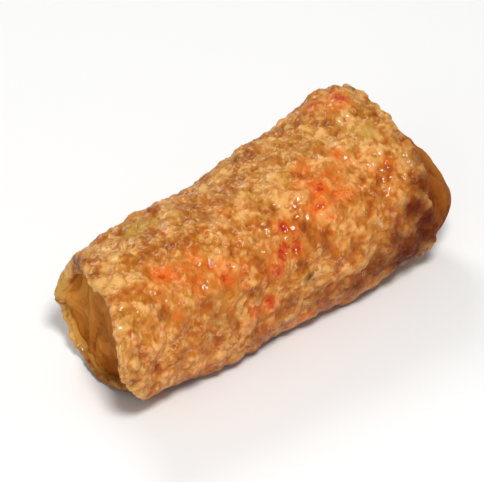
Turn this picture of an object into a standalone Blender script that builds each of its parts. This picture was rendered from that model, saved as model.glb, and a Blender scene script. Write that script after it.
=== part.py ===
"""A fried bean curd skin roll with a shrimp filling, one piece of food.

A sheet of bean curd skin is wrapped round the filling into a flattened roll that
tapers a little. At each end the skin stands out as a thin uneven rim, and the
tucked-in fold lies inside it, set back. Frying raises blisters all over the skin.
Units are metres. X runs along the roll, -Y is its front and the roll rests on Z = 0.
"""

import math

import bmesh
import bpy
import numpy as np
from mathutils import Vector, noise

MM = 0.001

# The whole roll
LENGTH = 70 * MM  # along the middle, from rim to rim
LEFT_WIDTH, RIGHT_WIDTH = 27 * MM, 34 * MM
LEFT_HEIGHT, RIGHT_HEIGHT = 25.5 * MM, 28 * MM
SQUARENESS = 2.7  # the section's superellipse power: 2 is an ellipse, more is squarer
PRESSED = 1.4 * MM  # how much of the round underside is pressed flat by its weight
LEFT_SLANT = 7 * MM  # the front of the left end reaches this much further than its back
RIGHT_SLANT = -4 * MM  # its back reaches further than its front
BOW = 0.4 * MM  # sideways bend of the middle of the roll
CORNER_LIFT, CORNER_LENGTH = 2 * MM, 14 * MM  # the lower corners of both ends are rounded off

# The open ends
RIM = 1.5 * MM  # thickness of the skin's rim
LIP = 2.6 * MM  # how much thicker the left rim is at its top, where the skin rolls over
RIM_ROUND = 0.6 * MM  # how far the rounded edge of the rim reaches along the roll
FOLD_DEPTH = 1.8 * MM  # how far the tucked-in fold is set back at its edge
FOLD_BULGE = 1.1 * MM  # how far its middle comes forward again
CREASE_DEPTH, CREASE_WIDTH = 0.5 * MM, 1.3 * MM  # where the left fold doubles over itself
SWELLS = (  # where the right fold swells out past the rim: y and z from the axis, radius, reach
    (-6 * MM, -0.5 * MM, 13 * MM, 6.5 * MM),
    (-12 * MM, -2 * MM, 8 * MM, 2.5 * MM),
)
FLARE = 0.04  # share by which the rim opens wider than the body
FLARE_REACH = 5 * MM

# The free edge of the sheet, low on the back
SEAM_ANGLE = math.radians(-24)
SEAM_STEP = 0.9 * MM
SEAM_FADE = math.radians(80)
SEAM_WANDER = math.radians(5)

# Lumps of the filling under the skin, and dents: place along, angle round, radius, height
LUMPS = (
    (0.09, 60, 8 * MM, -0.3 * MM),
    (0.42, 50, 11 * MM, -1.3 * MM),
    (0.92, 58, 9 * MM, 2.9 * MM),
    (0.36, 112, 11 * MM, 0.7 * MM),
    (0.66, 95, 11 * MM, 0.6 * MM),
    (0.86, 135, 7 * MM, -0.5 * MM),
    (0.30, 200, 11 * MM, 0.8 * MM),
    (0.74, 188, 12 * MM, 0.9 * MM),
    (0.28, 5, 10 * MM, 0.8 * MM),
    (0.62, -8, 11 * MM, 0.7 * MM),
)

# Blisters of the skin
BLISTERS = 300
BLISTER_RADIUS = (1.9 * MM, 3.6 * MM)
BLISTER_RISE = (0.16, 0.30)  # height as a share of the radius
ALONG_STEP, ROUND_STEP = 0.7548777, 0.5698403  # a plane-filling sequence, even and unaligned

# Slow unevenness of the whole shape
WARP_SIZE = 13 * MM
WARP = 0.7 * MM
NOISE_SEED = 1  # without one, Blender's noise starts from the clock

# Fineness of the surface
COLUMNS = 80
WALL_RINGS = 52
FOLD_RINGS = 8
RIM_RINGS = 4

END_RINGS = FOLD_RINGS + RIM_RINGS
LAST_RING = WALL_RINGS + 2 * END_RINGS + 2


def smooth(low, high, value):
    """0 at low, 1 at high, with a soft turn at both."""
    share = np.clip((value - low) / (high - low), 0, 1)
    return share * share * (3 - 2 * share)


def wave(angle, *terms):
    """A sum of (size, turns, phase) waves round the roll."""
    return sum(size * np.sin(turns * angle + phase) for size, turns, phase in terms)


def near_angle(angle, degrees, spread):
    """1 at this angle round the roll, falling to 0 on both sides of it."""
    apart = np.mod(angle - math.radians(degrees) + math.pi, 2 * math.pi) - math.pi
    return np.exp(-((apart / spread) ** 2))


def axis_height(along):
    return (LEFT_HEIGHT + (RIGHT_HEIGHT - LEFT_HEIGHT) * along - PRESSED) / 2


def section(angle, along):
    """Distance from the axis to the skin: a superellipse with a flat underside."""
    half_width = (LEFT_WIDTH + (RIGHT_WIDTH - LEFT_WIDTH) * along) / 2
    half_height = axis_height(along) + PRESSED
    across = np.abs(np.cos(angle) / half_width) ** SQUARENESS
    upright = np.abs(np.sin(angle) / half_height) ** SQUARENESS
    radius = (across + upright) ** (-1 / SQUARENESS)
    from_end = np.minimum(along, 1 - along) * LENGTH
    radius = radius * (1 + FLARE * (1 - smooth(0, FLARE_REACH, from_end)))
    down = np.maximum(-np.sin(angle), 1e-6)
    corners = near_angle(angle, 230, 0.45) + near_angle(angle, 310, 0.45)
    lifted = CORNER_LIFT * corners * (1 - smooth(0, CORNER_LENGTH, from_end))
    return np.minimum(radius, axis_height(along) / down) - lifted


def seam_offset(angle):
    """The outer turn of the sheet stands proud just above its free edge, and fades out."""
    past = np.mod(angle - SEAM_ANGLE, 2 * math.pi)
    return SEAM_STEP * smooth(SEAM_FADE, 0, past)


def left_reach(angle):
    """How far the left rim stands out past its plane. It curls out at the back, reaches
    furthest at the upper front and falls back at the lower front."""
    back = 2.3 * MM * near_angle(angle, 4, 0.36) + 1.2 * MM * near_angle(angle, -42, 0.45)
    front = 2 * MM * near_angle(angle, 88, 0.55) + 4.2 * MM * near_angle(angle, 155, 0.7)
    lower = 4.6 * MM * near_angle(angle, 222, 0.5)
    return back + front - lower + wave(angle, (0.4 * MM, 2, 0.6), (0.3 * MM, 5, 1.9), (0.2 * MM, 9, 0.3))


def right_reach(angle):
    """How far the right rim stands out past its plane. It falls back over the swollen fold."""
    notch = 1.6 * MM * near_angle(angle, 158, 0.4)
    return wave(angle, (0.5 * MM, 3, 5.5), (0.3 * MM, 4, 0.2), (0.2 * MM, 8, 1.1)) - notch


def rim_width(side, angle):
    return RIM + np.where(side > 0, 0, LIP) * near_angle(angle, 52, 0.75)


def left_fold(share, y, z):
    """How far the left fold is set back, from its middle (share 0) to its edge (share 1)."""
    from_crease = (y + 0.35 * z - 1.5 * MM) / CREASE_WIDTH
    crease = CREASE_DEPTH * np.exp(-(from_crease**2))
    return FOLD_DEPTH - (FOLD_BULGE - crease) * (1 - share**2)


def right_fold(share, y, z):
    """The same for the right fold, which swells out past the rim, most of all at the front."""
    swell = FOLD_BULGE
    for swell_y, swell_z, radius, reach in SWELLS:
        swell = swell + reach * np.exp(-((np.hypot(y - swell_y, z - swell_z) / radius) ** 3))
    return FOLD_DEPTH - swell * (1 - share**10)


def ends_at(y, angle, share):
    """X of the left and of the right rim. Their waves die out toward the axis (share 0)."""
    left = -LENGTH / 2 + LEFT_SLANT * y / LEFT_WIDTH - left_reach(angle) * share**2
    right = LENGTH / 2 - RIGHT_SLANT * y / RIGHT_WIDTH + right_reach(angle) * share**2
    return left, right


def ring_place(ring):
    """For a ring counted from the left pole: which end (0 or 1), share of the way from the
    pole to the fold's edge, step over the rim (0 to 5) and share of the way along the wall."""
    from_pole = np.minimum(ring, LAST_RING - ring)
    side = np.where(ring * 2 > LAST_RING, 1.0, 0.0)
    fold = np.clip(from_pole / FOLD_RINGS, 0, 1)
    rim_step = np.clip(from_pole - FOLD_RINGS, 0, RIM_RINGS + 1)
    wall = np.clip((ring - END_RINGS - 1) / WALL_RINGS, 0, 1)
    return side, fold, rim_step, wall


def skin_points(ring, turn):
    """Points of the plain roll, before lumps and blisters. turn is the angle round it."""
    side, fold, rim_step, wall = ring_place(ring)
    on_wall = rim_step > RIM_RINGS
    near_seam = near_angle(turn, math.degrees(SEAM_ANGLE), 0.7)
    angle = turn + SEAM_WANDER * near_seam * np.sin(9 * wall + 0.5)
    along = np.where(on_wall, wall, side)
    radius = section(angle, along) + seam_offset(turn) * smooth(-0.9, -0.3, np.sin(angle))
    inner = 1 - rim_width(side, angle) / radius
    # The fold's edge, then the rim's inner wall, its inner edge and its outer edge
    steps = [rim_step == 0, rim_step == 1, rim_step == 2, rim_step == 3, rim_step == 4]
    shares = [fold * inner * 0.94, inner * 0.99, inner, 0.7 * inner + 0.3, 0.25 * inner + 0.75]
    share = np.select(steps, shares, 1.0)
    y = radius * share * np.cos(angle)
    z = radius * share * np.sin(angle)
    left, right = ends_at(y, angle, share)
    insets = [FOLD_DEPTH * 0.8, FOLD_DEPTH * 0.35, 0.12 * MM, 0.12 * MM]
    left_x = left + np.select(steps, [left_fold(fold, y, z)] + insets, RIM_ROUND)
    right_x = right - np.select(steps, [right_fold(fold, y, z)] + insets, RIM_ROUND)
    end_x = np.where(side > 0, right_x, left_x)
    x = np.where(on_wall, left_x + (right_x - left_x) * wall, end_x)
    y = y + BOW * np.cos(math.pi * x / LENGTH)
    return np.stack([x, y, np.maximum(z + axis_height(along), 0)], axis=1)


def wall_point(along, degrees):
    """One point of the outer skin, for placing lumps and blisters."""
    ring = END_RINGS + 1 + along * WALL_RINGS
    return skin_points(np.array([ring]), np.array([math.radians(degrees)]))[0]


def lump_height(points):
    total = np.zeros(len(points))
    for along, degrees, radius, height in LUMPS:
        apart = np.linalg.norm(points - wall_point(along, degrees), axis=1)
        total += height * np.exp(-((apart / radius) ** 2) * 1.6)
    return total


def blister_height(points):
    """Overlapping domes, so that creases run between them."""
    total = np.zeros(len(points))
    for index in range(1, BLISTERS + 1):
        along = 0.02 + 0.96 * (index * ALONG_STEP % 1)
        degrees = 360 * (index * ROUND_STEP % 1)
        size, rise = index * 0.6180340 % 1, index * 0.4142136 % 1
        radius = BLISTER_RADIUS[0] + (BLISTER_RADIUS[1] - BLISTER_RADIUS[0]) * size
        height = radius * (BLISTER_RISE[0] + (BLISTER_RISE[1] - BLISTER_RISE[0]) * rise)
        apart = np.linalg.norm(points - wall_point(along, degrees), axis=1) / radius
        total = np.maximum(total, height * np.clip(1 - apart**2, 0, 1))
    return total


def warp(points):
    """Slow noise that moves both faces of a thin rim alike, and nothing on the table."""
    noise.seed_set(NOISE_SEED)
    moved = np.array([noise.noise_vector(Vector(p / WARP_SIZE)) for p in points])
    return moved * WARP * smooth(0, 5 * MM, points[:, 2])[:, None]


def build_roll():
    mesh = bpy.data.meshes.new("roll")
    bm = bmesh.new()
    bmesh.ops.create_uvsphere(bm, u_segments=COLUMNS, v_segments=LAST_RING, radius=1)
    unit = np.array([v.co for v in bm.verts])
    ring = np.round(np.arccos(np.clip(unit[:, 2], -1, 1)) * LAST_RING / math.pi)
    turn = -np.arctan2(unit[:, 1], unit[:, 0])
    base = skin_points(ring, turn)
    for vert, point in zip(bm.verts, base):
        vert.co = point
    bm.normal_update()
    normal = np.array([v.normal for v in bm.verts])

    _, _, rim_step, wall = ring_place(ring)
    on_wall = np.where(rim_step > RIM_RINGS, smooth(0, 0.05, np.minimum(wall, 1 - wall)), 0)
    off_table = smooth(0, 2.5 * MM, base[:, 2])
    raised = on_wall * off_table * (lump_height(base) + blister_height(base))
    shaped = base + normal * raised[:, None] + warp(base)
    shaped[:, 2] = np.where(base[:, 2] <= 0, 0, np.maximum(shaped[:, 2], 0))

    low, high = shaped.min(axis=0), shaped.max(axis=0)
    shaped -= [(low[0] + high[0]) / 2, (low[1] + high[1]) / 2, 0]
    for vert, point in zip(bm.verts, shaped):
        vert.co = point
    bm.normal_update()
    bm.to_mesh(mesh)
    bm.free()
    mesh.shade_smooth()
    roll = bpy.data.objects.new("roll", mesh)
    bpy.context.scene.collection.objects.link(roll)
    return roll


def fried_skin():
    material = bpy.data.materials.new("fried_skin")
    material.use_nodes = True
    shader = material.node_tree.nodes["Principled BSDF"]
    shader.inputs["Base Color"].default_value = (0.58, 0.24, 0.06, 1)
    shader.inputs["Roughness"].default_value = 0.38
    shader.inputs["Metallic"].default_value = 0
    return material


for old in list(bpy.data.objects):
    bpy.data.objects.remove(old)
build_roll().data.materials.append(fried_skin())
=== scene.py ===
"""Looks of the fried bean curd skin roll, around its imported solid. Units are metres."""

import math

import bmesh
import bpy
import numpy as np
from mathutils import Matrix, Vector, kdtree, noise


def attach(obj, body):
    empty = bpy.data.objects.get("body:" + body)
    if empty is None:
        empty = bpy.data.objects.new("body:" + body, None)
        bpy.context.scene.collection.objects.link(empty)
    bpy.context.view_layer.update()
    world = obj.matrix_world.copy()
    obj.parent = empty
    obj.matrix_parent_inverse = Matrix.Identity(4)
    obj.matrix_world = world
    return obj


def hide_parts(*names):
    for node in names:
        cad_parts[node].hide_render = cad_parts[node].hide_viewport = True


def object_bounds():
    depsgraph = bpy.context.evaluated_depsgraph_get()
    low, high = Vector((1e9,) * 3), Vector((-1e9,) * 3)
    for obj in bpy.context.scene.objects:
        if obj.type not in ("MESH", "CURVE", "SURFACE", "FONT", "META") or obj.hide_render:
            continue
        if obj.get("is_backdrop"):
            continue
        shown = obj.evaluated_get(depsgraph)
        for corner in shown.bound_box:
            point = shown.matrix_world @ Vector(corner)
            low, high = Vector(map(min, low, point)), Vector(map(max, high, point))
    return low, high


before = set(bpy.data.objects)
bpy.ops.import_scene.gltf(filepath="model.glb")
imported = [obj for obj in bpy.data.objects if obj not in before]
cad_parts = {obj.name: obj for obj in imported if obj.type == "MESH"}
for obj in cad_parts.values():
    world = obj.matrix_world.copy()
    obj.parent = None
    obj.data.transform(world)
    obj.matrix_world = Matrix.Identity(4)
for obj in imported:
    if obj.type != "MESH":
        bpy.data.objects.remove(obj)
solid_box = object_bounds()


# Outer skin
# The last turn of a sheet of bean curd skin, wrapped round a shrimp filling and deep fried.
# It is a thin blistered crust: pale golden tops, oily brown creases, and a thick uneven rim
# standing out at both ends, where the folded edge of the sheet lies doubled.
MM = 0.001
LENGTH = 70 * MM
LEFT_WIDTH, RIGHT_WIDTH = 27 * MM, 34 * MM
LEFT_HEIGHT, RIGHT_HEIGHT = 25.5 * MM, 28 * MM
SQUARENESS = 2.7
PRESSED = 1.4 * MM
LEFT_SLANT, RIGHT_SLANT = 7 * MM, -4 * MM
BOW = 0.4 * MM
CORNER_LIFT, CORNER_LENGTH = 2 * MM, 14 * MM
RIM, LIP = 1.5 * MM, 2.6 * MM
FOLD_DEPTH = 1.8 * MM
FLARE, FLARE_REACH = 0.04, 5 * MM
SEAM_ANGLE, SEAM_STEP = math.radians(-24), 0.9 * MM
SEAM_FADE, SEAM_WANDER = math.radians(80), math.radians(5)
LUMPS = (  # filling under the skin, and dents: place along, angle round, radius, height
    (0.09, 60, 8 * MM, -0.3 * MM),
    (0.42, 50, 11 * MM, -1.3 * MM),
    (0.92, 58, 9 * MM, 2.9 * MM),
    (0.36, 112, 11 * MM, 0.7 * MM),
    (0.66, 95, 11 * MM, 0.6 * MM),
    (0.86, 135, 7 * MM, -0.5 * MM),
    (0.30, 200, 11 * MM, 0.8 * MM),
    (0.74, 188, 12 * MM, 0.9 * MM),
    (0.28, 5, 10 * MM, 0.8 * MM),
    (0.62, -8, 11 * MM, 0.7 * MM),
)
BLISTERS = 300  # the large ones, which the solid has too
BLISTER_RADIUS, BLISTER_RISE = (1.9 * MM, 3.6 * MM), (0.16, 0.30)
ALONG_STEP, ROUND_STEP = 0.7548777, 0.5698403  # turns that never repeat, so they spread evenly
SIZE_STEP, RISE_STEP = 0.6180340, 0.4142136
WARP_SIZE, WARP = 13 * MM, 0.7 * MM
NOISE_SEED = 1  # without one, Blender's noise starts from the clock
COARSE_BLISTER, FINE_BLISTER = 2 * MM, 0.8 * MM  # how far apart the small ones lie
COARSE_BURST, FINE_BURST = 0.5, 0.2
COARSE_RISE, FINE_RISE, CURL_RISE = 0.26 * MM, 0.34 * MM, 0.12 * MM
CURL_SIZE, PATCH_SIZE, RAG_SIZE = 1.3 * MM, 6 * MM, 1.4 * MM
RAGGED, RIM_RAGGED = 0.2 * MM, 0.25 * MM
SOLE_RISE = 0.06 * MM
GIRTH = 105 * MM
OVERLAP = 0.03  # blisters run on this share of the length past both ends
COARSE_SEED, FINE_SEED, RAG_SEED, CURL_SEED, PATCH_SEED = 3, 5, 7, 19, 23
COLUMNS, WALL_RINGS = 330, 250
FLOOR_RINGS, INNER_RINGS, CREST_RINGS = 5, 8, 12
END_RINGS = FLOOR_RINGS + INNER_RINGS + CREST_RINGS
LAST_RING = WALL_RINGS + 2 * END_RINGS
SKIN_FLOOR = FOLD_DEPTH + 2.5 * MM  # the skin closes this far in, behind the folds


def smooth(low, high, value):
    """0 at low, 1 at high, with a soft turn at both."""
    share = np.clip((value - low) / (high - low), 0, 1)
    return share * share * (3 - 2 * share)


def wave(angle, *terms):
    """A sum of (size, turns, phase) waves round the roll."""
    return sum(size * np.sin(turns * angle + phase) for size, turns, phase in terms)


def near_angle(angle, degrees, spread):
    """1 at this angle round the roll, falling to 0 on both sides of it."""
    apart = np.mod(angle - math.radians(degrees) + math.pi, 2 * math.pi) - math.pi
    return np.exp(-((apart / spread) ** 2))


def axis_height(along):
    """How high the middle of the roll lies over the table."""
    return (LEFT_HEIGHT + (RIGHT_HEIGHT - LEFT_HEIGHT) * along - PRESSED) / 2


def section(angle, along):
    """Distance from the axis to the skin: a superellipse with a flat underside."""
    half_width = (LEFT_WIDTH + (RIGHT_WIDTH - LEFT_WIDTH) * along) / 2
    half_height = axis_height(along) + PRESSED
    across = np.abs(np.cos(angle) / half_width) ** SQUARENESS
    upright = np.abs(np.sin(angle) / half_height) ** SQUARENESS
    radius = (across + upright) ** (-1 / SQUARENESS)
    from_end = np.minimum(along, 1 - along) * LENGTH
    radius = radius * (1 + FLARE * (1 - smooth(0, FLARE_REACH, from_end)))
    down = np.maximum(-np.sin(angle), 1e-6)
    corners = near_angle(angle, 230, 0.45) + near_angle(angle, 310, 0.45)
    lifted = CORNER_LIFT * corners * (1 - smooth(0, CORNER_LENGTH, from_end))
    return np.minimum(radius, axis_height(along) / down) - lifted


def seam_offset(angle):
    """The outer turn of the sheet stands proud just above its free edge, and fades out."""
    past = np.mod(angle - SEAM_ANGLE, 2 * math.pi)
    return SEAM_STEP * smooth(SEAM_FADE, 0, past)


def skin_radius(angle, turn, along):
    """The section with the sheet's free edge, which shows only off the underside."""
    return section(angle, along) + seam_offset(turn) * smooth(-0.9, -0.3, np.sin(angle))


def rim_reach(side, angle):
    """How far a rim stands out past its plane. The left one curls out at the back, reaches
    furthest at the upper front and falls back at the lower front. The right one falls back
    over the swollen fold."""
    back = 2.3 * MM * near_angle(angle, 4, 0.36) + 1.2 * MM * near_angle(angle, -42, 0.45)
    front = 2 * MM * near_angle(angle, 88, 0.55) + 4.2 * MM * near_angle(angle, 155, 0.7)
    left = back + front - 4.6 * MM * near_angle(angle, 222, 0.5)
    left = left + wave(angle, (0.4 * MM, 2, 0.6), (0.3 * MM, 5, 1.9), (0.2 * MM, 9, 0.3))
    notch = 1.6 * MM * near_angle(angle, 158, 0.4)
    right = wave(angle, (0.5 * MM, 3, 5.5), (0.3 * MM, 4, 0.2), (0.2 * MM, 8, 1.1)) - notch
    return np.where(side > 0, right, left)


def rim_width(side, angle):
    """The rim is thicker at the top of the left end, where the skin rolls over."""
    return RIM + np.where(side > 0, 0, LIP) * near_angle(angle, 52, 0.75)


def end_plane(side, y, angle, share):
    """X of a rim. Its waves die out toward the axis (share 0)."""
    slant = np.where(side > 0, -RIGHT_SLANT / RIGHT_WIDTH, LEFT_SLANT / LEFT_WIDTH)
    outward = np.where(side > 0, 1.0, -1.0)
    return outward * (LENGTH / 2 + rim_reach(side, angle) * share**2) + slant * y


def placed(x, y, z, along):
    """Bends the roll sideways and stands it on its underside."""
    y = y + BOW * np.cos(math.pi * x / LENGTH)
    return np.stack([x, y, np.maximum(z + axis_height(along), 0)], axis=1)


def skin_points(ring, turn):
    """Points of the plain skin, before its relief. turn is the angle round it."""
    side = np.where(ring * 2 > LAST_RING, 1.0, 0.0)
    from_pole = np.minimum(ring, LAST_RING - ring)
    wall = np.clip((ring - END_RINGS) / WALL_RINGS, 0, 1)
    on_wall = from_pole >= END_RINGS
    wander = SEAM_WANDER * near_angle(turn, math.degrees(SEAM_ANGLE), 0.7)
    angle = turn + wander * np.sin(9 * wall + 0.5)
    along = np.where(on_wall, wall, side)
    radius = skin_radius(angle, turn, along)
    thick = rim_width(side, turn) * (1 + wave(turn, (0.16, 3, 1.0), (0.12, 7, 2.2))) / radius
    floor = np.clip(from_pole / FLOOR_RINGS, 0, 1)
    inner = np.clip((from_pole - FLOOR_RINGS) / INNER_RINGS, 0, 1)
    crest = math.pi * np.clip((from_pole - FLOOR_RINGS - INNER_RINGS) / CREST_RINGS, 0, 1)
    share = floor * (1 - thick * (0.5 + 0.5 * np.cos(crest)))
    half_rim = thick * radius / 2
    inset = (SKIN_FLOOR - half_rim) * (1 - inner) + half_rim * (1 - np.sin(crest))
    y, z = radius * share * np.cos(angle), radius * share * np.sin(angle)
    left = end_plane(0, y, angle, share) + inset
    right = end_plane(1, y, angle, share) - inset
    end_x = np.where(side > 0, right, left)
    x = np.where(on_wall, left + (right - left) * wall, end_x)
    return placed(x, y, z, along)


def wall_points(along, degrees):
    """Points of the plain wall, to place what lies on it."""
    along, degrees = np.atleast_1d(along), np.atleast_1d(degrees)
    return skin_points(END_RINGS + along * WALL_RINGS, np.radians(degrees))


def share_of(bounds, index, step):
    """The next of a row of values that fill the space between two bounds evenly."""
    return bounds[0] + (bounds[1] - bounds[0]) * (index * step % 1)


def large_relief(points):
    """Lumps of the filling, and large blisters with creases between them."""
    lumps = np.zeros(len(points))
    for along, degrees, radius, height in LUMPS:
        apart = np.linalg.norm(points - wall_points(along, degrees), axis=1)
        lumps += height * np.exp(-((apart / radius) ** 2) * 1.6)
    blisters = np.zeros(len(points))
    for index in range(1, BLISTERS + 1):
        along = 0.02 + 0.96 * (index * ALONG_STEP % 1)
        degrees = 360 * (index * ROUND_STEP % 1)
        radius = share_of(BLISTER_RADIUS, index, SIZE_STEP)
        height = radius * share_of(BLISTER_RISE, index, RISE_STEP)
        apart = np.linalg.norm(points - wall_points(along, degrees), axis=1) / radius
        blisters = np.maximum(blisters, height * np.clip(1 - apart**2, 0, 1))
    return lumps, blisters


def noises(points, size, seed):
    """Slow noise vectors, one for each point."""
    noise.seed_set(NOISE_SEED)
    shift = Vector((seed * 3.1, seed * 1.7, seed * 2.3))
    return np.array([noise.noise_vector(Vector(p / size) + shift) for p in points])


def seeds_on_wall(spacing, seed):
    """Scattered middles of blisters, this far apart, over the wall and its rims."""
    rng = np.random.default_rng(seed)
    reach = 1 + 2 * OVERLAP
    count_along, count_round = int(reach * LENGTH / spacing), int(GIRTH / spacing)
    along, turn = np.meshgrid(np.arange(count_along), np.arange(count_round))
    along = reach * (along.ravel() + rng.uniform(0, 1, along.size)) / count_along - OVERLAP
    turn = (turn.ravel() + rng.uniform(0, 1, turn.size)) / count_round
    return wall_points(along, 360 * turn)


def small_blisters(points, seeds, spacing, seed, burst, bend):
    """Overlapping round blisters of uneven size, some burst and sunk so that they show as
    rings. Gives each point's height, 0 to 1, and the random number of the blister over it."""
    rng = np.random.default_rng(seed + 100)
    tones, kinds, sizes = rng.uniform(0, 1, (3, len(seeds)))
    radii = spacing * (0.45 + 0.75 * sizes**1.5)
    tree = kdtree.KDTree(len(seeds))
    for index, seed_point in enumerate(seeds):
        tree.insert(seed_point, index)
    tree.balance()
    bent = points + noises(points, spacing * 1.2, seed) * spacing * bend
    near = [tree.find_n(point, 5) for point in bent]
    found = np.array([[entry[1] for entry in entries] for entries in near])
    apart = np.array([[entry[2] for entry in entries] for entries in near]) / radii[found]
    cap = np.clip(1 - apart**2, 0, 1) ** 0.8
    sunk = 0.85 * smooth(0.72, 0.35, apart) * (kinds[found] < burst)
    cap *= (1 - sunk) * (0.4 + 0.6 * sizes[found])
    best = cap.argmax(axis=1)
    row = np.arange(len(points))
    return cap[row, best], tones[found[row, best]]


def finished_mesh(name, bm):
    """Makes the piece, smooth shaded, with its object at the origin."""
    mesh = bpy.data.meshes.new(name)
    bm.normal_update()
    bm.to_mesh(mesh)
    bm.free()
    mesh.shade_smooth()
    piece = bpy.data.objects.new(name, mesh)
    bpy.context.scene.collection.objects.link(piece)
    return piece


def paint(piece, name, values):
    """Stores one number for each vertex, for the material to read."""
    layer = piece.data.attributes.new(name, "FLOAT", "POINT")
    layer.data.foreach_set("value", np.asarray(values, dtype=np.float32))


def shape_ball(columns, rings, points_of):
    """A ball whose rings, counted from its left pole, are moved to where points_of puts them.
    Gives its points before any relief, with each one's ring, angle and normal."""
    bm = bmesh.new()
    bmesh.ops.create_uvsphere(bm, u_segments=columns, v_segments=rings, radius=1)
    unit = np.array([v.co for v in bm.verts])
    ring = np.round(np.arccos(np.clip(unit[:, 2], -1, 1)) * rings / math.pi)
    turn = -np.arctan2(unit[:, 1], unit[:, 0])
    base = points_of(ring, turn)
    for vert, point in zip(bm.verts, base):
        vert.co = point
    bm.normal_update()
    return bm, base, ring, turn, np.array([v.normal for v in bm.verts])


def warp(points):
    """Slow noise over the whole roll, so that nothing is straight, but not on the table."""
    return noises(points, WARP_SIZE, 0) * WARP * smooth(0, 5 * MM, points[:, 2])[:, None]


bm, base, ring, turn, normal = shape_ball(COLUMNS, LAST_RING, skin_points)
from_pole = np.minimum(ring, LAST_RING - ring)
wall = np.clip((ring - END_RINGS) / WALL_RINGS, 0, 1)
outside = smooth(FLOOR_RINGS + INNER_RINGS - 1, FLOOR_RINGS + INNER_RINGS + 3, from_pole)
off_table = smooth(0, 2.5 * MM, base[:, 2])
on_body = np.where(from_pole >= END_RINGS, smooth(0, 0.05, np.minimum(wall, 1 - wall)), 0)
lumps, blisters = large_relief(base)
places = seeds_on_wall(COARSE_BLISTER, COARSE_SEED)
coarse, coarse_tone = small_blisters(base, places, COARSE_BLISTER, COARSE_SEED, COARSE_BURST, 0.5)
places = seeds_on_wall(FINE_BLISTER, FINE_SEED)
fine, fine_tone = small_blisters(base, places, FINE_BLISTER, FINE_SEED, FINE_BURST, 0.5)
patchy = 0.5 + noises(base, PATCH_SIZE, PATCH_SEED)
curls = 1 - np.abs(noises(base, CURL_SIZE, CURL_SEED)[:, 0]) * 2.5
ragged = noises(base, RAG_SIZE, RAG_SEED)
crust = COARSE_RISE * (coarse - 0.4) + CURL_RISE * np.clip(curls, -0.5, 1)
crust += FINE_RISE * (fine - 0.4) * (0.7 + 0.7 * np.clip(patchy[:, 0], 0, 1))
raised = on_body * off_table * (lumps + blisters)
raised += (0.25 + 0.75 * off_table) * (0.08 + 0.92 * outside) * crust
shaped = base + normal * raised[:, None] + warp(base)
rim = smooth(END_RINGS + 8, END_RINGS, from_pole)
shaped += ragged * ((RAGGED + RIM_RAGGED * rim) * outside * off_table)[:, None]
on_table = base[:, 2] <= 0
shaped[:, 2] = np.where(on_table, SOLE_RISE * (1 - coarse), np.maximum(shaped[:, 2], 0))
left_end, front, back = shaped[:, 0].min(), shaped[:, 1].min(), shaped[:, 1].max()
shift = np.array([left_end - solid_box[0][0], (front + back) / 2, 0])
for vert, point in zip(bm.verts, shaped - shift):
    vert.co = point
skin = finished_mesh("skin", bm)
paint(skin, "relief", 0.5 + crust / (COARSE_RISE + FINE_RISE))
paint(skin, "tone", 0.35 * coarse_tone + 0.65 * fine_tone)
paint(skin, "inside", 1 - outside)
paint(skin, "rim", rim * outside)


def spots(points, places):
    """Soft patches on the skin, from place along, angle round, radius and strength."""
    total = np.zeros(len(points))
    for along, degrees, radius, strength in places:
        apart = np.linalg.norm(points - wall_points(along, degrees), axis=1) / radius
        total = np.maximum(total, strength * np.exp(-(apart**2)))
    return total


SHRIMP_PATCHES = (  # the orange filling shines through the skin
    (0.72, 121, 6 * MM, 0.75), (0.70, 123, 2.8 * MM, 1.2), (0.68, 134, 2.8 * MM, 1.2),
    (0.80, 109, 3.6 * MM, 0.7), (0.70, 103, 3.2 * MM, 0.7), (0.35, 139, 3.6 * MM, 1.0),
    (0.28, 131, 5 * MM, 0.8), (0.17, 119, 3.4 * MM, 1.0), (0.25, 90, 1.6 * MM, 0.6),
    (0.48, 104, 2 * MM, 0.5), (0.20, 137, 2 * MM, 0.7), (0.19, 148, 2.4 * MM, 0.7),
    (0.40, 177, 2.6 * MM, 0.5), (0.90, 132, 2.8 * MM, 0.6), (0.53, 144, 2.6 * MM, 0.6),
    (0.29, 114, 2.5 * MM, 0.4), (0.56, 162, 2 * MM, 0.4), (0.35, 22, 4 * MM, 0.9),
    (0.70, 350, 4.5 * MM, 0.9), (0.55, 212, 4 * MM, 0.8), (0.84, 28, 3.5 * MM, 0.7),
    (0.20, 208, 3.5 * MM, 0.8), (0.12, 350, 3 * MM, 0.6), (0.48, 8, 2.5 * MM, 0.8),
    (0.92, 5, 2.5 * MM, 0.7), (0.62, 30, 3 * MM, 0.7), (0.22, 10, 2.5 * MM, 0.6),
)
WARM_PATCHES = (  # fried a deeper orange over the filling
    (0.20, 145, 14 * MM, 0.8), (0.45, 150, 14 * MM, 0.8), (0.72, 138, 13 * MM, 0.8),
    (0.92, 150, 11 * MM, 0.7), (0.70, 116, 9 * MM, 0.6), (0.42, 98, 5 * MM, 0.6),
    (0.15, 195, 13 * MM, 0.8), (0.40, 200, 14 * MM, 0.9), (0.70, 200, 14 * MM, 0.8),
    (0.25, 10, 13 * MM, 0.7), (0.50, 355, 13 * MM, 0.7), (0.75, 0, 13 * MM, 0.7),
    (0.50, 320, 15 * MM, 0.7),
)
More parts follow.
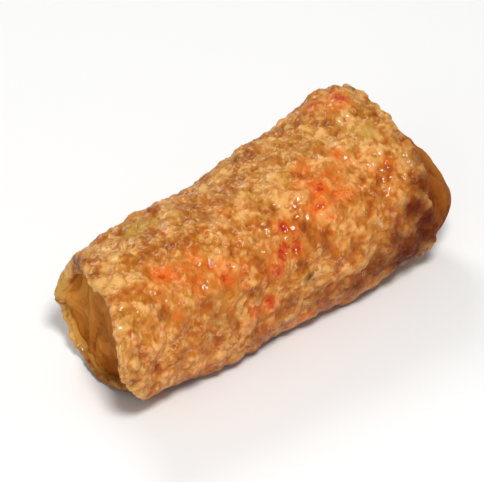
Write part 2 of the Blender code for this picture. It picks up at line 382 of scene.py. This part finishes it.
RED_SPECKS = (  # bits of shell close under the skin
    (0.70, 122, 1.5 * MM, 0.8), (0.68, 132, 1.2 * MM, 0.8), (0.56, 132, 1.4 * MM, 1.0),
    (0.58, 141, 1.5 * MM, 1.1), (0.58, 146, 1.6 * MM, 1.2), (0.55, 142, 1.3 * MM, 1.0),
    (0.53, 145, 1.5 * MM, 1.1), (0.51, 152, 1.8 * MM, 1.0), (0.52, 154, 0.8 * MM, 0.9),
    (0.47, 175, 1.4 * MM, 1.0), (0.35, 140, 1.4 * MM, 0.7), (0.28, 139, 0.9 * MM, 0.6),
    (0.17, 119, 1.2 * MM, 0.8), (0.92, 68, 1.6 * MM, 1.3), (0.86, 60, 1.1 * MM, 1.0),
    (0.37, 137, 1.0 * MM, 0.7), (0.25, 88, 0.9 * MM, 0.8), (0.60, 20, 1.4 * MM, 0.9),
    (0.36, 12, 1.3 * MM, 0.8), (0.82, 344, 1.4 * MM, 0.8), (0.57, 214, 1.4 * MM, 0.8),
    (0.22, 205, 1.2 * MM, 0.8), (0.70, 352, 1.2 * MM, 0.8),
)
OLIVE_PATCHES = (  # thin dry blisters, yellow-green where little oil soaked in
    (0.93, 104, 4 * MM, 0.8), (0.36, 81, 4.5 * MM, 0.6), (0.18, 62, 4.5 * MM, 0.9),
    (-0.02, 10, 3.5 * MM, 1.0), (0.01, 355, 4 * MM, 1.0), (0.01, 334, 3.5 * MM, 0.9),
    (0.01, 308, 3.5 * MM, 0.9), (0.89, 125, 3 * MM, 0.6), (0.60, 100, 4.5 * MM, 0.5),
    (0.68, 66, 4 * MM, 0.4), (0.94, 80, 4 * MM, 0.6), (0.46, 161, 3 * MM, 0.4),
    (0.50, 64, 6 * MM, 0.4), (0.62, 14, 7 * MM, 0.7), (0.30, 340, 6 * MM, 0.6),
    (0.88, 205, 6 * MM, 0.4),
)
DARK_PATCHES = (  # browner where fried longest, and painted shade on the lower front toward the right end
    (0.60, 168, 1.4 * MM, 0.9), (0.61, 189, 3.6 * MM, 0.6), (0.68, 190, 3.6 * MM, 0.6),
    (0.77, 187, 3.6 * MM, 0.6), (0.87, 175, 3.6 * MM, 0.8), (0.96, 162, 4 * MM, 1.0),
    (1.00, 150, 3.6 * MM, 1.0), (0.90, 194, 6.5 * MM, 1.2), (0.99, 181, 6 * MM, 1.3),
    (1.00, 135, 3.2 * MM, 0.7), (0.99, 116, 2.5 * MM, 0.5), (0.58, 53, 1.8 * MM, 0.6),
    (0.80, 190, 5 * MM, 0.8), (0.72, 200, 5 * MM, 0.7), (0.61, 203, 5 * MM, 0.5),
    (0.47, 149, 2 * MM, 0.5), (0.38, 196, 5 * MM, 0.6), (0.50, 335, 7 * MM, 0.6),
    (0.15, 330, 6 * MM, 0.5), (0.97, 30, 5 * MM, 0.5), (0.22, 152, 3 * MM, 0.4),
    (0.37, 98, 3.6 * MM, 0.5), (-0.02, 56, 3 * MM, 0.6), (0.43, 163, 2.5 * MM, 0.6),
    (0.53, 184, 3 * MM, 0.6), (0.60, 176, 2 * MM, 0.6), (0.31, 162, 3 * MM, 0.5),
    (0.21, 160, 2.5 * MM, 0.5), (0.38, 166, 1.6 * MM, 0.5), (0.14, 141, 2.2 * MM, 0.5),
)
halos = tuple(  # each red speck has a wider, weaker orange one round it
    (along, degrees, 1.8 * radius, 0.8 * strength)
    for along, degrees, radius, strength in RED_SPECKS
)
paint(skin, "orange", spots(base, SHRIMP_PATCHES + halos))
paint(skin, "red", spots(base, RED_SPECKS))
paint(skin, "warm", spots(base, WARM_PATCHES))
paint(skin, "olive", spots(base, OLIVE_PATCHES))
# Painted shade: the skin darker toward the table, over its lowest 6 mm.
underside = 0.8 * (1 - smooth(0, 6 * MM, base[:, 2]))
paint(skin, "dark", np.maximum(spots(base, DARK_PATCHES), underside))


class Wire:
    """An output socket of a material's node, with arithmetic that adds Math nodes."""

    def __init__(self, tree, socket):
        self.tree, self.socket = tree, socket

    def node(self, kind, settings, inputs, output=0):
        """Adds any node: its settings first, then the values or links of its sockets."""
        made = self.tree.nodes.new(kind)
        for name, value in settings.items():
            setattr(made, name, value)
        for name, value in inputs.items():
            if isinstance(value, Wire):
                self.tree.links.new(value.socket, made.inputs[name])
            else:
                made.inputs[name].default_value = value
        return Wire(self.tree, made.outputs[output])

    def math(self, operation, *values):
        return self.node("ShaderNodeMath", {"operation": operation}, dict(enumerate(values)))

    def __add__(self, other):
        return self.math("ADD", self, other)

    def __radd__(self, other):
        return self.math("ADD", other, self)

    def __sub__(self, other):
        return self.math("SUBTRACT", self, other)

    def __rsub__(self, other):
        return self.math("SUBTRACT", other, self)

    def __mul__(self, other):
        return self.math("MULTIPLY", self, other)

    def __rmul__(self, other):
        return self.math("MULTIPLY", other, self)

    def between(self, low, high):
        """0 below low, 1 above high, soft in between. low may be above high."""
        inputs = {"Value": self, "From Min": low, "From Max": high}
        return self.node("ShaderNodeMapRange", {"interpolation_type": "SMOOTHSTEP"}, inputs)

    def mix(self, first, second):
        """From the first colour, where this is 0, to the second, where it is 1."""
        first, second = (c if isinstance(c, Wire) else (*c, 1) for c in (first, second))
        return self.node("ShaderNodeMix", {"data_type": "RGBA"}, {0: self, 6: first, 7: second}, 2)

    def tint(self, colour, by):
        """This colour, multiplied by another where this is 1."""
        settings = {"data_type": "RGBA", "blend_type": "MULTIPLY"}
        return self.node("ShaderNodeMix", settings, {0: self, 6: colour, 7: (*by, 1)}, 2)

    def noise(self, size, detail=3, roughness=0.55):
        """Cloudy noise about 0.5 over these coordinates, with patches of this size in metres."""
        inputs = {"Vector": self, "Scale": 1 / size, "Detail": detail, "Roughness": roughness}
        return self.node("ShaderNodeTexNoise", {}, inputs)

    def bent(self, size, reach):
        """These coordinates, each pushed this far aside, times noise of this size."""
        push = self.node("ShaderNodeTexNoise", {}, {"Vector": self, "Scale": 1 / size}, 1)
        inputs = {0: push, 1: (reach,) * 3, 2: self}
        return self.node("ShaderNodeVectorMath", {"operation": "MULTIPLY_ADD"}, inputs)

    def cells(self, size, output=0):
        """Cells of this size in metres: distance from the middle, or (1) a random number."""
        inputs = {"Vector": self, "Scale": 1 / size, "Randomness": 1.0}
        return self.node("ShaderNodeTexVoronoi", {}, inputs, output)

    def bump(self, strength, distance):
        """A normal for a surface that is this high, at most this many metres."""
        inputs = {"Height": self, "Strength": strength, "Distance": distance}
        return self.node("ShaderNodeBump", {}, inputs)

    def stored(self, name):
        """A number kept on the mesh's vertices."""
        return self.node("ShaderNodeAttribute", {"attribute_name": name}, {}, 2)


def start_material(name):
    """A new material, its shader and the object's own coordinates."""
    material = bpy.data.materials.new(name)
    material.use_nodes = True
    tree = material.node_tree
    shader = tree.nodes["Principled BSDF"]
    place = Wire(tree, tree.nodes.new("ShaderNodeTexCoord").outputs["Object"])
    return material, shader, place


def connect(wire, shader, name):
    """Lets this value drive one of the shader's sockets."""
    wire.tree.links.new(wire.socket, shader.inputs[name])


def let_light_in(shader, weight, depth):
    """Some of the light goes this deep into the skin and comes out redder."""
    shader.inputs["Subsurface Weight"].default_value = weight
    shader.inputs["Subsurface Radius"].default_value = (1.0, 0.45, 0.15)
    shader.inputs["Subsurface Scale"].default_value = depth


PALE_CRUST = (0.71, 0.385, 0.120)
PALE_WARM = (0.78, 0.375, 0.110)
# Painted highlight on the curled bubble rims.
CURL_HIGHLIGHT = (0.90, 0.57, 0.25)
GOLD_CRUST = (0.46, 0.185, 0.028)
BROWN_CRUST = (0.36, 0.110, 0.013)
DARK_CREASE = (0.23, 0.055, 0.006)
WARM_TINT = (1.17, 0.88, 0.72)
OLIVE_CRUST = (0.42, 0.235, 0.030)
ORANGE_CRUST = (0.78, 0.142, 0.012)
RED_CRUST = (0.42, 0.020, 0.004)
# Browner skin and painted shade: multiplies the colour where the skin fried longest and where
# shade is painted.
BURNT_AND_SHADE_TINT = (0.26, 0.105, 0.040)
OLIVE_TINT = (0.88, 0.97, 0.65)
PINK_TINT = (1.12, 0.95, 1.05)
# Painted light: the rims' crest, paler as if lit.
LIT_RIM_CREST = (0.75, 0.43, 0.14)
# The rims' inner side: pale skin, lightened further as painted light where it lies in shade.
LIT_RIM_INSIDE = (0.74, 0.41, 0.085)


def crust_material():
    """Dark creases and pale tops, with the patches that were painted on the skin over them."""
    material, shader, place = start_material("crust")
    relief, tone, inside = place.stored("relief"), place.stored("tone"), place.stored("inside")
    bubble = place.cells(0.55 * MM)
    grain = place.noise(0.5 * MM, 4)
    streaks = place.noise(2.2 * MM, 4, 0.65)
    mottle = place.noise(2.5 * MM, 4, 0.6)
    patch = place.noise(5 * MM, 2)
    broad = place.noise(8 * MM, 2)
    # Curled rings round the bubbles, for painted highlights and for the bump.
    ring = place.bent(1.5 * MM, 2.4 * MM).cells(1.6 * MM)
    curl = ring.between(0.18, 0.36) * ring.between(0.56, 0.4) * streaks.between(0.46, 0.62)
    height = 0.12 + 0.76 * relief + (0.5 - bubble) * 0.15 + (grain - 0.5) * 0.15
    height = height + (mottle - 0.5) * 0.6 + (patch - 0.5) * 2.0
    colour = height.between(-0.2, 0.35).mix(DARK_CREASE, BROWN_CRUST)
    colour = height.between(0.25, 0.65).mix(colour, GOLD_CRUST)
    warm = (place.stored("warm") + (broad - 0.5) * 0.8).between(0.0, 1.0)
    colour = warm.tint(colour, WARM_TINT)
    pale = warm.mix(PALE_CRUST, PALE_WARM)
    colour = (height.between(0.5, 1.0) * (tone + broad - 0.5).between(0.1, 0.8)).mix(colour, pale)
    # Painted light along the rims' crest.
    colour = (place.stored("rim") * height.between(0.1, 0.9) * 0.42).mix(colour, LIT_RIM_CREST)
    # Painted highlight on the curled rings.
    colour = (curl * 0.4).mix(colour, CURL_HIGHLIGHT)
    speck = place.cells(1.2 * MM, 1)
    colour = (speck.between(0.42, 0.2) * 0.5).tint(colour, OLIVE_TINT)
    colour = (speck.between(0.58, 0.8) * 0.4).tint(colour, PINK_TINT)
    olive = place.stored("olive") + (mottle - 0.5) * 1.2
    colour = (olive.between(0.35, 0.9) * 0.55).mix(colour, OLIVE_CRUST)
    orange = place.stored("orange") + (streaks - 0.5) * 1.8 + (broad - 0.5) * 0.8
    wet = orange.between(0.15, 1.05)
    colour = (wet * (1.0 - height * 0.5)).mix(colour, ORANGE_CRUST)
    red = place.stored("red") + (streaks - 0.5) * 1.9 + (grain - 0.5) * 1.2
    colour = (red.between(0.4, 0.95) * (1.1 - height * 0.5)).mix(colour, RED_CRUST)
    # Painted light on the rims' inner side.
    colour = (inside * 0.9).mix(colour, LIT_RIM_INSIDE)
    # Browning and painted shade: the dark patches, and painted shade low near the table.
    burnt_and_shade = (place.stored("dark") + (mottle - 0.5) * 0.8).between(0.15, 1.0)
    colour = burnt_and_shade.tint(colour, BURNT_AND_SHADE_TINT)
    connect(colour, shader, "Base Color")
    connect(0.44 + 0.3 * (grain - 0.5) - 0.12 * relief, shader, "Roughness")
    bubbly = (0.5 - bubble) * 0.5 + (grain - 0.5) * 0.4 + curl * 0.4
    connect(bubbly.bump(0.7, 0.14 * MM), shader, "Normal")
    shader.inputs["Specular IOR Level"].default_value = 0.03
    let_light_in(shader, 0.06, 0.6 * MM)
    connect(0.3 + 0.12 * wet - 0.2 * burnt_and_shade, shader, "Coat Weight")
    shader.inputs["Coat Roughness"].default_value = 0.1
    return material


skin.data.materials.append(crust_material())
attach(skin, "root")
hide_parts("roll")


# Folds
# The sides of the sheet, tucked in before rolling, close both ends inside the rim. They lie in
# soft upright pleats over each other and fry less than the outside: smooth, oily brown skin
# with fine wrinkles and few blisters.
FOLD_BULGE = 1.1 * MM
CREASE_DEPTH, CREASE_WIDTH = 0.5 * MM, 1.3 * MM
SWELLS = ((-6 * MM, -0.5 * MM, 13 * MM, 6.5 * MM), (-12 * MM, -2 * MM, 8 * MM, 2.5 * MM))
FOLD_COLUMNS, FOLD_RINGS = 230, 120
FOLD_ROUND = 0.5 * MM  # how far the fold's edge turns in
FOLD_THICKNESS = 2 * MM
PLEAT, PLEAT_DEPTH = 5.5 * MM, 0.5 * MM
PLEAT_BEND, PLEAT_BEND_SIZE = 3.5 * MM, 7 * MM
WRINKLE_RISE, WRINKLE_SIZE = 0.22 * MM, 1.5 * MM
FOLD_BLISTERS, FOLD_BLISTER = 700, 1.2 * MM
FOLD_BLISTER_RISE, FOLD_BURST = 0.28 * MM, 0.3
PLEAT_SEED, CHOICE_SEED, BLISTER_SEED, ROUGH_SEED = 13, 40, 50, 60  # the right fold's are one more
FOLD_BROWN = (0.46, 0.150, 0.018)
FOLD_DARK = (0.27, 0.070, 0.007)
FOLD_GOLD = (0.62, 0.26, 0.05)
# Painted shade in the crevice behind the front rim.
CREVICE_SHADE_TINT = (0.45, 0.25, 0.18)


def fold_inset(side, share, y, z):
    """How far a fold lies in from the rim. The left one has a crease, the right one swells out."""
    crease = CREASE_DEPTH * np.exp(-(((y + 0.35 * z - 1.5 * MM) / CREASE_WIDTH) ** 2))
    left = FOLD_DEPTH - (FOLD_BULGE - crease) * (1 - share**2)
    swell = FOLD_BULGE
    for swell_y, swell_z, radius, reach in SWELLS:
        swell = swell + reach * np.exp(-((np.hypot(y - swell_y, z - swell_z) / radius) ** 3))
    right = FOLD_DEPTH - swell * (1 - share**10)
    return np.where(side > 0, right, left)


def fold_points(side):
    """Points of the fold at one end, as a pillow whose hidden back is flat."""
    def points(ring, turn):
        radius = skin_radius(turn, turn, float(side)) - 0.7 * rim_width(side, turn)
        from_front = ring if side == 0 else FOLD_RINGS - ring
        share = np.sin(from_front / FOLD_RINGS * math.pi) ** 0.9
        y, z = radius * share * np.cos(turn), radius * share * np.sin(turn)
        rounding = FOLD_ROUND * (1 - np.sqrt(np.clip(1 - share**14, 0, 1)))
        front = fold_inset(side, share, y, z) + rounding
        back = FOLD_DEPTH + FOLD_THICKNESS
        inset = np.where(from_front * 2 <= FOLD_RINGS, front, back)
        outward = 1 if side else -1
        x = end_plane(side, y, turn, share) - outward * inset
        return placed(x, y, z, float(side))
    return points


def fold_material():
    """Smooth oily skin, with painted shade low down and in the crevice behind the rim, and painted
    light on the left fold's back half.
    """
    material, shader, place = start_material("tucked_fold")
    relief = place.stored("relief")
    streaks = place.noise(3 * MM, 4)
    grain = place.noise(0.5 * MM, 4)
    bubble = place.cells(0.8 * MM)
    height = relief + (streaks - 0.5) * 0.7 + (grain - 0.5) * 0.5 + (0.5 - bubble) * 0.35
    # Painted light on the back of the left fold, and painted shade toward the table.
    height = height + place.stored("lit_back") * 0.35 - place.stored("low") * 0.45
    colour = height.between(-0.1, 0.45).mix(FOLD_DARK, FOLD_BROWN)
    colour = (height.between(0.5, 1.0) * 0.7).mix(colour, FOLD_GOLD)
    # Painted shade in the crevice behind the rim.
    colour = (place.stored("crevice") * 0.8).tint(colour, CREVICE_SHADE_TINT)
    connect(colour, shader, "Base Color")
    connect(0.4 + 0.25 * (grain - 0.5), shader, "Roughness")
    connect(grain.bump(0.4, 0.08 * MM), shader, "Normal")
    shader.inputs["Specular IOR Level"].default_value = 0.0
    let_light_in(shader, 0.1, 1 * MM)
    shader.inputs["Coat Weight"].default_value = 0.06
    shader.inputs["Coat Roughness"].default_value = 0.15
    return material


def pleats(points, seed):
    """Layers of skin lying over each other: each rises slowly and ends in a sharp edge."""
    bend = noises(points, PLEAT_BEND_SIZE, seed)
    across = (points[:, 1] + 0.25 * points[:, 2] + PLEAT_BEND * bend[:, 0]) / PLEAT + 0.3
    share = np.mod(across, 1)
    layer = PLEAT_DEPTH * smooth(0, 0.8, share) * smooth(1, 0.9, share) * (0.6 + bend[:, 1])
    stretched = points * (1, 1, 0.35)
    return layer + WRINKLE_RISE * noises(stretched, WRINKLE_SIZE, seed + 1)[:, 0]


fold_skin = fold_material()
for side, name in ((0, "left_fold"), (1, "right_fold")):
    bm, base, ring, turn, normal = shape_ball(FOLD_COLUMNS, FOLD_RINGS, fold_points(side))
    from_axis = np.hypot(base[:, 1], base[:, 2] - axis_height(side))
    rng = np.random.default_rng(side + CHOICE_SEED)
    chosen = rng.choice(len(base), FOLD_BLISTERS, False, from_axis / from_axis.sum())
    places = base[chosen]
    bubbles, _ = small_blisters(base, places, FOLD_BLISTER, side + BLISTER_SEED, FOLD_BURST, 0.4)
    rough = 0.3 + 0.5 * side + 1.5 * noises(base, 8 * MM, side + ROUGH_SEED)[:, 0]
    relief = pleats(base, side + PLEAT_SEED) + FOLD_BLISTER_RISE * bubbles * np.clip(rough, 0, 1)
    shaped = base + normal * relief[:, None] + warp(base)
    shaped[:, 2] = np.maximum(shaped[:, 2], 0.1 * MM)
    for vert, point in zip(bm.verts, shaped - shift):
        vert.co = point
    fold = finished_mesh(name, bm)
    paint(fold, "relief", 0.2 + relief / (0.9 * MM))
    # Painted shade: the folds darker toward the table.
    paint(fold, "low", smooth(16 * MM, 3 * MM, base[:, 2]))
    # Painted light: the left fold paler toward its back.
    paint(fold, "lit_back", (1 - side) * smooth(-3 * MM, 8 * MM, base[:, 1]))
    # Painted shade in the crevice behind the front rim, near the fold's edge.
    forward = smooth(0, -8 * MM, base[:, 1])
    paint(fold, "crevice", forward * smooth(0.45 + 0.15 * side, 0.95, from_axis / from_axis.max()))
    fold.data.materials.append(fold_skin)
    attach(fold, "root")
    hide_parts("roll")


# Floor, light and camera
# A plain pale floor, soft studio light from the upper left, and a long lens at the height
# from which the real roll was seen.
FLOOR_COLOUR = (0.86, 0.86, 0.85, 1)
LENS, SENSOR = 418, 36  # millimetres, as Blender's cameras have them
DISTANCE = 1.04
FLOOR_SIZE = 3
AZIMUTH, ELEVATION = math.radians(-42), math.radians(38.4)
LAMPS = (  # name, azimuth and elevation seen from the roll, distance, size, watts
    ("key", -32, 58, 0.9, 0.2, 6.3),
    ("fill", -70, 30, 1.2, 0.8, 1.6),
    ("back", 165, 42, 1.0, 0.4, 3.0),
)

bm = bmesh.new()
bmesh.ops.create_grid(bm, x_segments=1, y_segments=1, size=FLOOR_SIZE)
floor = finished_mesh("floor", bm)
floor_paint, floor_shader, _ = start_material("floor_paint")
floor_shader.inputs["Base Color"].default_value = FLOOR_COLOUR
floor_shader.inputs["Roughness"].default_value = 0.9
floor.data.materials.append(floor_paint)
floor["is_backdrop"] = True

low, high = (Vector(corner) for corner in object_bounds())
centre = (low + high) / 2


def toward(azimuth, elevation):
    """The direction from the roll to a lamp or camera at these angles."""
    flat = math.cos(elevation)
    return Vector((math.sin(azimuth) * flat, -math.cos(azimuth) * flat, math.sin(elevation)))


for name, azimuth, elevation, distance, size, watts in LAMPS:
    light = bpy.data.lights.new(name, "AREA")
    light.shape = "DISK"
    light.size = size
    light.energy = watts
    lamp = bpy.data.objects.new(name, light)
    way = toward(math.radians(azimuth), math.radians(elevation))
    lamp.location = centre + way * distance
    lamp.rotation_euler = way.to_track_quat("Z", "Y").to_euler()
    bpy.context.scene.collection.objects.link(lamp)

world = bpy.data.worlds.new("studio")
world.use_nodes = True
world.node_tree.nodes["Background"].inputs["Color"].default_value = (1, 1, 1, 1)
world.node_tree.nodes["Background"].inputs["Strength"].default_value = 0.3
bpy.context.scene.world = world
bpy.context.scene.view_settings.view_transform = "Standard"

camera = bpy.data.cameras.new("camera")
camera.lens, camera.sensor_width = LENS, SENSOR
camera.clip_start, camera.clip_end = 0.01, 20
viewer = bpy.data.objects.new("camera", camera)
way = toward(AZIMUTH, ELEVATION)
viewer.location = centre + way * DISTANCE
viewer.rotation_euler = way.to_track_quat("Z", "Y").to_euler()
bpy.context.scene.collection.objects.link(viewer)
bpy.context.scene.camera = viewer
